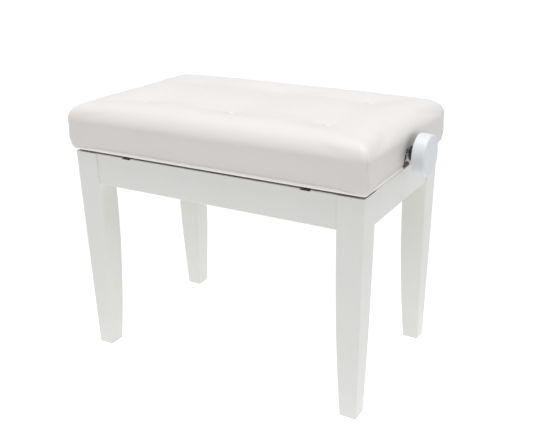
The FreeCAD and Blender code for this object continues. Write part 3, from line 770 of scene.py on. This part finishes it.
FOAM_STEP, FOAM_INSET, FOAM_LIFT = 14 * MM, 2.6 * MM, 0.3 * MM
FOAM_LEVELS = (0.25, 0.5, 0.75, 0.97, 1.0)
FOAM_FLOOR_SHARE = 0.985
WADDING_INSET, WADDING_THICK, WADDING_CLEAR = 1.6 * MM, 2.2 * MM, 11 * MM
WADDING_ROWS = 5


def make_foam():
    """A closed block with a flat underside, dimpled by the buttons."""
    xs = stations(HALF_X, FOAM_STEP, FOAM_STEP / 2)
    ys = stations(HALF_Y, FOAM_STEP, FOAM_STEP / 2)
    under = BOARD_TOP_Z + FOAM_LIFT
    levels = [TOP_Z + (under - TOP_Z) * share for share in FOAM_LEVELS]
    places, faces = box_grid(xs, ys, lambda x, y: [Vector((x, y, z)) for z in levels])
    points = [stuffed(p, 0.0, FOAM_INSET) for p in places]
    ring = ring_of(len(xs), len(ys))
    floor_index = {pair: len(points) - len(ring) + k for k, pair in enumerate(ring)}
    for j in range(1, len(ys) - 1):
        for i in range(1, len(xs) - 1):
            floor_index[i, j] = len(points)
            points.append(Vector((xs[i] * FOAM_FLOOR_SHARE, ys[j] * FOAM_FLOOR_SHARE, under)))
    for j in range(len(ys) - 1):
        for i in range(len(xs) - 1):
            corners = ((i, j), (i, j + 1), (i + 1, j + 1), (i + 1, j))
            faces.append(tuple(floor_index[pair] for pair in corners))
    block = mesh_object("cushion_foam", points, faces)
    block.modifiers.new("finer", "SUBSURF").levels = 1
    apply_modifiers(block)
    return block


def wadding_foot(x, y):
    """Where the wadding under (x, y) ends: above the hem, and clear of the notches on the ends."""
    foot_y, foot_z = hem_point(y) if on_end((x, y)) else (y, HEM_Z)
    if on_end((x, y)) and 0 < abs(foot_y) < NOTCH_REACH:
        foot_y += copysign(WADDING_CLEAR, foot_y)
    return Vector((x, foot_y, min(BOARD_TOP_Z - WADDING_CLEAR, foot_z + WADDING_CLEAR)))


def make_wadding():
    """A thin soft wrap outside the skirt boards, cut away at the notches."""
    xs = stations(HALF_X, FOAM_STEP, FOAM_STEP / 4)
    ys = stations(HALF_Y, FOAM_STEP, FOAM_STEP / 4)
    tops = [Vector((xs[i], ys[j], BOARD_TOP_Z)) for i, j in ring_of(len(xs), len(ys))]
    feet = [wadding_foot(top.x, top.y) for top in tops]
    points = []
    for row in range(WADDING_ROWS + 1):
        for top, foot in zip(tops, feet):
            points.append(stuffed(top.lerp(foot, row / WADDING_ROWS), 0.0, WADDING_INSET))
    count = len(tops)
    faces = []
    for row in range(WADDING_ROWS):
        for k in range(count):
            after = (k + 1) % count
            upper, lower = row * count, (row + 1) * count
            faces.append((upper + k, lower + k, lower + after, upper + after))
    wrap = mesh_object("cushion_wadding", points, faces)
    thick = wrap.modifiers.new("thickness", "SOLIDIFY")
    thick.thickness = WADDING_THICK
    thick.offset = -1.0
    wrap.modifiers.new("softer", "SUBSURF").levels = 1
    apply_modifiers(wrap)
    return wrap


# ---------------------------------------------------------------------------------------------
# Piping: a covered cord along the hem, in a front and a back length that end at the notches
# ---------------------------------------------------------------------------------------------

PIPING_RADIUS = (piping_high.z - piping_low.z) / 2
PIPING_Z = piping_low.z + PIPING_RADIUS
PIPING_X, PIPING_Y = piping_high.x - PIPING_RADIUS, piping_high.y - PIPING_RADIUS
PIPING_BEND, BEND_STEPS = 5 * MM, 9
PIPING_STEP = 1.5 * MM
PIPING_SIDES = 18
PIPING_TIP, TIP_POINTS = 0.55, 2
PIPING_END_Y = NOTCH_HALF + 8 * MM
CREASE_DEPTH = 0.16 * MM


def straight(start, end):
    """Points along a line, about a step apart, without its last point."""
    count = max(1, round((end - start).length / PIPING_STEP))
    return [start.lerp(end, k / count) for k in range(count)]


def arc(centre, first, second):
    """A quarter turn about a centre, from one arm to the other, without its last point."""
    angles = [pi / 2 * k / BEND_STEPS for k in range(BEND_STEPS)]
    return [centre + first * cos(angle) + second * sin(angle) for angle in angles]


def piping_path(side):
    """The centre line of the front (side -1) or back (side 1) length, from left to right."""
    x, y, z = PIPING_X, side * PIPING_Y, PIPING_Z
    bend, end_y = PIPING_BEND, side * PIPING_END_Y
    to_side, to_end = Vector((0, side, 0)), Vector((1, 0, 0))
    half = straight(Vector((0, y, z)), Vector((x - bend, y, z)))
    half += arc(Vector((x - bend, y - side * bend, z)), to_side * bend, to_end * bend)
    half += straight(Vector((x, y - side * bend, z)), Vector((x, end_y, z)))
    half.append(Vector((x, end_y, z)))
    other = [Vector((-p.x, p.y, p.z)) for p in half[:0:-1]]
    return other + half


def tube(path, radius, name):
    """A closed tube along a path. radius(k, angle) is its radius at each point of each ring."""
    points, faces = [], []
    side = Vector((0, 0, 1))
    for k, centre in enumerate(path):
        before, after = path[max(0, k - 1)], path[min(len(path) - 1, k + 1)]
        along = (after - before).normalized()
        side = (side - along * side.dot(along)).normalized()
        across = along.cross(side)
        for turn in range(PIPING_SIDES):
            angle = 2 * pi * turn / PIPING_SIDES
            points.append(centre + (side * cos(angle) + across * sin(angle)) * radius(k, angle))
    for k in range(len(path) - 1):
        for turn in range(PIPING_SIDES):
            after = (turn + 1) % PIPING_SIDES
            low, high = k * PIPING_SIDES, (k + 1) * PIPING_SIDES
            faces.append((low + turn, high + turn, high + after, low + after))
    for ring, flip in ((0, False), (len(path) - 1, True)):
        centre = len(points)
        points.append(path[ring].copy())
        for turn in range(PIPING_SIDES):
            pair = ring * PIPING_SIDES + turn, ring * PIPING_SIDES + (turn + 1) % PIPING_SIDES
            faces.append((centre, *(pair[::-1] if flip else pair)))
    return mesh_object(name, points, faces)


def make_piping(side, name):
    """One length of piping, its cover creased, with rounded ends."""
    path = piping_path(side)
    last = len(path) - 1

    def radius(k, angle):
        creases = sin(k * 1.9) * sin(k * 0.37 + 2 * side) + 0.6 * sin(k * 0.83 + angle * 2)
        tip = min(1.0, PIPING_TIP + (1 - PIPING_TIP) * min(k, last - k) / TIP_POINTS)
        return (PIPING_RADIUS + CREASE_DEPTH * (0.5 * creases - 0.8)) * tip

    return tube(path, radius, name)


# ---------------------------------------------------------------------------------------------
# Covered buttons
# ---------------------------------------------------------------------------------------------

BUTTON_RINGS, BUTTON_SIDES = 9, 48
BUTTON_HEIGHT = 4.2 * MM
BUTTON_UNDERCUT = 1.12
BUTTON_STEM = 0.35 * BUTTON_HEIGHT
BUTTON_PLEATS, PLEATS_FROM, PLEAT_DEPTH = 14, 0.45, 0.16 * MM


def button_profile(share):
    """Distance from the axis and height of the dome at a share of the way from top to rim."""
    angle = share * pi / 2 * BUTTON_UNDERCUT
    return BUTTON_RADIUS * sin(min(angle, pi / 2)), BUTTON_HEIGHT * cos(angle)


def make_button(number, centre):
    """A domed button covered in leatherette, gathered in pleats towards its rim."""
    points, faces = [Vector((0, 0, BUTTON_HEIGHT))], []
    for ring in range(1, BUTTON_RINGS + 1):
        away, height = button_profile(ring / BUTTON_RINGS)
        for turn in range(BUTTON_SIDES):
            angle = 2 * pi * turn / BUTTON_SIDES
            gather = smooth_step(PLEATS_FROM, 1.0, ring / BUTTON_RINGS)
            pleat = gather * PLEAT_DEPTH * cos(BUTTON_PLEATS * angle + number)
            points.append(Vector(((away + pleat) * cos(angle), (away + pleat) * sin(angle), height)))
    points.append(Vector((0, 0, -BUTTON_STEM)))
    bottom = len(points) - 1
    for turn in range(BUTTON_SIDES):
        after = (turn + 1) % BUTTON_SIDES
        faces.append((0, 1 + turn, 1 + after))
        for ring in range(BUTTON_RINGS - 1):
            low, high = 1 + ring * BUTTON_SIDES, 1 + (ring + 1) * BUTTON_SIDES
            faces.append((low + turn, high + turn, high + after, low + after))
        rim = 1 + (BUTTON_RINGS - 1) * BUTTON_SIDES
        faces.append((bottom, rim + after, rim + turn))
    return mesh_object(f"covered_button_{number + 1}", [centre + p for p in points], faces)


# ---------------------------------------------------------------------------------------------
# Floor and light
# ---------------------------------------------------------------------------------------------

FLOOR_HALF = 60.0
FLOOR_DROP = 0.2 * MM
FLOOR_SHADE, FLOOR_GLOW, MIDDLE_GLOW = 0.2, 0.76, 1.15
MIDDLE_SPREAD = (1.1, 1.4, 1.0)
WORLD_LIGHT = 0.5
KEY_LIGHT, KEY_ANGLE = 2.55, 30.0
KEY_TILT, KEY_TURN = 3.0, 55.0


def make_floor():
    """A pale floor that glows a little, most of all under the bench, so that it stays pale there."""
    half = FLOOR_HALF
    corners = [Vector((x, y, -FLOOR_DROP)) for x, y in
               ((-half, -half), (half, -half), (half, half), (-half, half))]
    floor = mesh_object("floor", corners, [(0, 1, 2, 3)])
    made = Shader("floor", 0.9, Base_Color=(FLOOR_SHADE, FLOOR_SHADE, FLOOR_SHADE, 1.0))
    made.surface.inputs["Emission Color"].default_value = (1.0, 1.0, 1.0, 1.0)
    middle = made.add("ShaderNodeTexGradient", gradient_type="SPHERICAL")
    made.join(made.stretched(MIDDLE_SPREAD), middle.inputs["Vector"])
    glow = made.grey(middle.outputs["Fac"], FLOOR_GLOW, MIDDLE_GLOW)
    made.join(glow, made.surface.inputs["Emission Strength"])
    floor.data.materials.append(made.material)


def make_light():
    world = bpy.data.worlds.new("studio")
    world.use_nodes = True
    sky = world.node_tree.nodes["Background"]
    sky.inputs["Color"].default_value = (1.0, 1.0, 1.0, 1.0)
    sky.inputs["Strength"].default_value = WORLD_LIGHT
    scene.world = world
    key = bpy.data.lights.new("key", "SUN")
    key.energy = KEY_LIGHT
    key.angle = radians(KEY_ANGLE)
    lamp = link("key", key)
    turn = Matrix.Rotation(radians(KEY_TURN), 3, "Z")
    lamp.rotation_euler = (turn @ Matrix.Rotation(radians(KEY_TILT), 3, "X")).to_euler()
    lamp.location = (0, 0, 2)
    scene.view_settings.view_transform = "Standard"


# ---------------------------------------------------------------------------------------------
# Putting it together
# ---------------------------------------------------------------------------------------------

def finish_piece(piece, finishes, look, slot, *stands_for):
    """Gives a visual piece its material, puts it on the seat and hides the CAD nodes it stands for. The
    slot argument is not used.
    """
    piece.data.materials.clear()
    piece.data.materials.append(finishes[look])
    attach(piece, "seat")
    if stands_for:
        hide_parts(*stands_for)


make_camera()
make_floor()
make_light()
finishes = make_materials()
dress_cad_nodes(finishes)

swelling = Swelling(simulated_swell())
cover = make_cover(swelling)
finish_piece(cover, finishes, "leatherette", "leatherette", "seat_cover")

foam_block = make_foam()
finish_piece(foam_block, finishes, "foam", "foam", "foam_pad")

side_wrap = make_wadding()
finish_piece(side_wrap, finishes, "wadding", "foam", "side_wadding")

# The piping wears the lighter copy of the leatherette, whose extra lightness is a painted highlight.
for side, piping_name in ((-1, "hem_piping_front"), (1, "hem_piping_back")):
    finish_piece(make_piping(side, piping_name), finishes, "piping_leatherette",
                 "piping_leatherette", "piping")

for number, (tuft_x, tuft_y) in enumerate(TUFTS):
    sunk = cover_point(Vector((tuft_x, tuft_y, TOP_Z)), swelling)
    button = make_button(number, Vector((tuft_x, tuft_y, sunk.z)))
    finish_piece(button, finishes, "leatherette", "leatherette", "tuft_buttons")
